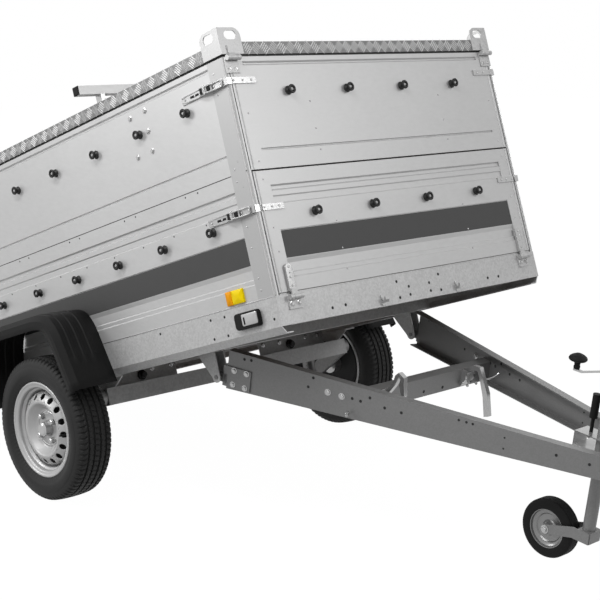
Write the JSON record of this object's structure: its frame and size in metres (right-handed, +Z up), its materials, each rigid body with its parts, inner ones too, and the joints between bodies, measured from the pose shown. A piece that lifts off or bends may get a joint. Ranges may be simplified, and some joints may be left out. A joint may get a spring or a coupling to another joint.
{
  "type": "utility trailer",
  "caption": "Single-axle tipping utility trailer with high ribbed metal sides, hinged tread-plate lid, drop gates, A-frame drawbar and jockey wheel, bed tipped back.",
  "frame": {"origin": "on the ground, on the centre line, midway between the coupling's nose and the lid's rear lugs", "axes": "+X forward along the trailer to the coupling, +Y to its left, +Z up"},
  "size_m": [4.2688, 1.724, 1.7379],
  "materials": {
    "galvanised": "satin",
    "anodised": "satin",
    "tread_plate": "satin",
    "zinc": "satin",
    "plywood": "matte",
    "tyre": "matte",
    "rim_silver": "satin",
    "black_plastic": "matte",
    "rubber": "matte",
    "amber_lens": "gloss",
    "red_lens": "gloss"
  },
  "bodies": {
    "drawbar": {"drawbar_beams": "galvanised", "drawbar_crossbar": "galvanised", "pivot_plates": "galvanised", "tip_latches": "zinc", "coupling": "zinc", "coupling_handle": "zinc", "jockey_clamp": "galvanised", "jockey_tube": "galvanised", "jockey_crank": "zinc", "crank_knob": "black_plastic", "clamp_handle": "black_plastic"},
    "bed": {"side_rails": "galvanised", "end_rails": "galvanised", "cross_members": "galvanised", "pivot_member": "galvanised", "floor_board": "plywood", "hangers": "galvanised", "side_wall_lower_right": "anodised", "side_wall_upper_right": "anodised", "side_wall_lower_left": "anodised", "side_wall_upper_left": "anodised", "front_wall_upper": "anodised", "rear_wall_upper": "anodised", "front_gate_hinge_plates": "galvanised", "rear_gate_hinge_plates": "galvanised", "lid_hinge_plates": "galvanised", "axle_beam": "galvanised", "axle_brackets": "galvanised", "axle_arms": "galvanised", "mudguards": "black_plastic", "tip_catches": "zinc", "cover_hooks_bed": "rubber", "corner_latches": "zinc", "side_lamps": "amber_lens", "rear_lamps": "red_lens"},
    "lid": {"lid": "tread_plate", "lid_lugs": "galvanised", "roof_bars": "anodised", "roof_bar_caps": "black_plastic", "roof_bar_posts": "black_plastic", "lid_hinge_leaves": "galvanised"},
    "front_gate": {"front_gate": "anodised", "front_gate_straps": "galvanised", "cover_hooks_front_gate": "rubber", "front_gate_strikes": "zinc"},
    "rear_gate": {"rear_gate": "anodised", "rear_gate_straps": "galvanised", "cover_hooks_rear_gate": "rubber", "rear_gate_strikes": "zinc"},
    "wheel_right": {"tyre_right": "tyre", "rim_right": "rim_silver", "hub_right": "zinc"},
    "wheel_left": {"tyre_left": "tyre", "rim_left": "rim_silver", "hub_left": "zinc"},
    "jockey_slider": {"jockey_spindle": "galvanised"},
    "jockey_caster": {"jockey_leg": "galvanised", "jockey_fork": "galvanised"},
    "caster_wheel": {"caster_tyre": "tyre", "caster_rim": "galvanised"}
  },
  "joints": [
    {"name": "bed_tip", "type": "hinge", "parent": "drawbar", "child": "bed", "pos_m": [0.22487, 0, 0.52702], "axis": [0, 1, 0], "range_deg": [0, 26.26]},
    {"name": "lid_hinge", "type": "hinge", "parent": "bed", "child": "lid", "pos_m": [0.48254, 0, 1.64183], "axis": [0, 1, 0], "range_deg": [0, 60]},
    {"name": "front_gate_hinge", "type": "hinge", "parent": "bed", "child": "front_gate", "pos_m": [0.70997, 0, 0.87901], "axis": [0, 1, 0], "range_deg": [0, 90]},
    {"name": "rear_gate_hinge", "type": "hinge", "parent": "bed", "child": "rear_gate", "pos_m": [-1.88417, 0, 0.10203], "axis": [0, -1, 0], "range_deg": [0, 170]},
    {"name": "wheel_right_spin", "type": "hinge", "parent": "bed", "child": "wheel_right", "pos_m": [-0.4508, -0.7725, 0.2735], "axis": [0, 1, 0], "continuous": true},
    {"name": "wheel_left_spin", "type": "hinge", "parent": "bed", "child": "wheel_left", "pos_m": [-0.4508, 0.7725, 0.2735], "axis": [0, 1, 0], "continuous": true},
    {"name": "jockey_slide", "type": "slide", "parent": "drawbar", "child": "jockey_slider", "axis": [-0.1665, 0, -0.986], "range_m": [0, 0.2]},
    {"name": "jockey_swivel", "type": "hinge", "parent": "jockey_slider", "child": "jockey_caster", "pos_m": [1.487, -0.034, 0.31391], "axis": [0.1665, 0, 0.986], "continuous": true},
    {"name": "caster_spin", "type": "hinge", "parent": "jockey_caster", "child": "caster_wheel", "pos_m": [1.30637, -0.034, 0.1], "axis": [0, 1, 0], "continuous": true}
  ]
}
